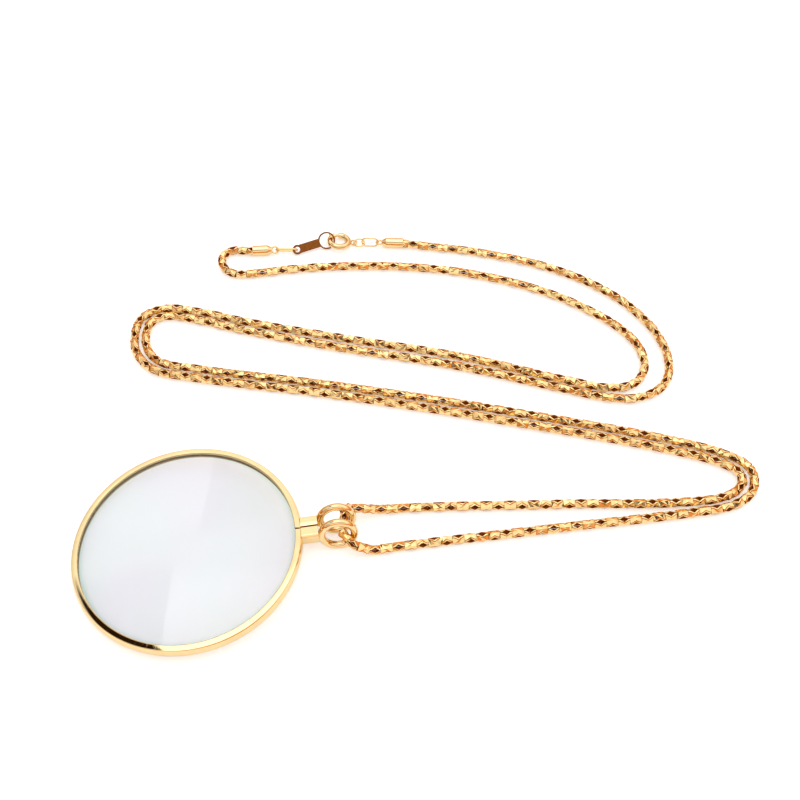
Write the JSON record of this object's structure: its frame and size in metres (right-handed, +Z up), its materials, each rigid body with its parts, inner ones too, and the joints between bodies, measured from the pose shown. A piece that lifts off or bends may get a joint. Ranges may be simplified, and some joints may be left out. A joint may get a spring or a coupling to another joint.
{
  "type": "magnifier pendant necklace",
  "caption": "Round lens in a gold rim, hung by paired eyes on a long gold chain with end caps and a spring ring clasp.",
  "frame": {"origin": "on the surface that the necklace lies on, below the middle of its box", "axes": "+Z up from the surface, +X along the long runs of the chain, from the pendant's side to the side of the front bend, +Y from the pendant towards the clasp"},
  "size_m": [0.1364, 0.1092, 0.0078],
  "materials": {
    "gold_polished": "polished",
    "gold_chain": "polished",
    "gold_fittings": "polished",
    "gold_clasp": "polished",
    "gold_tag": "polished",
    "lens_glass": "polished"
  },
  "bodies": {
    "necklace": {"rim": "gold_polished", "lens": "lens_glass", "lug_screw": "gold_polished", "chain_right": "gold_chain", "chain_left": "gold_chain", "right_cap": "gold_fittings", "end_link": "gold_fittings", "jump_ring": "gold_fittings", "clasp_ring": "gold_clasp", "tag": "gold_tag", "connector": "gold_fittings", "left_cap": "gold_fittings"},
    "bolt": {"clasp_bolt": "gold_clasp"}
  },
  "joints": [
    {"name": "clasp_bolt_slide", "type": "hinge", "parent": "necklace", "child": "bolt", "pos_m": [-0.01918, 0.05167, 0.00115], "axis": [0.0925, 0.1351, 0.9865], "range_deg": [0, 30], "stiffness_Nm_per_rad": 0.0005}
  ]
}
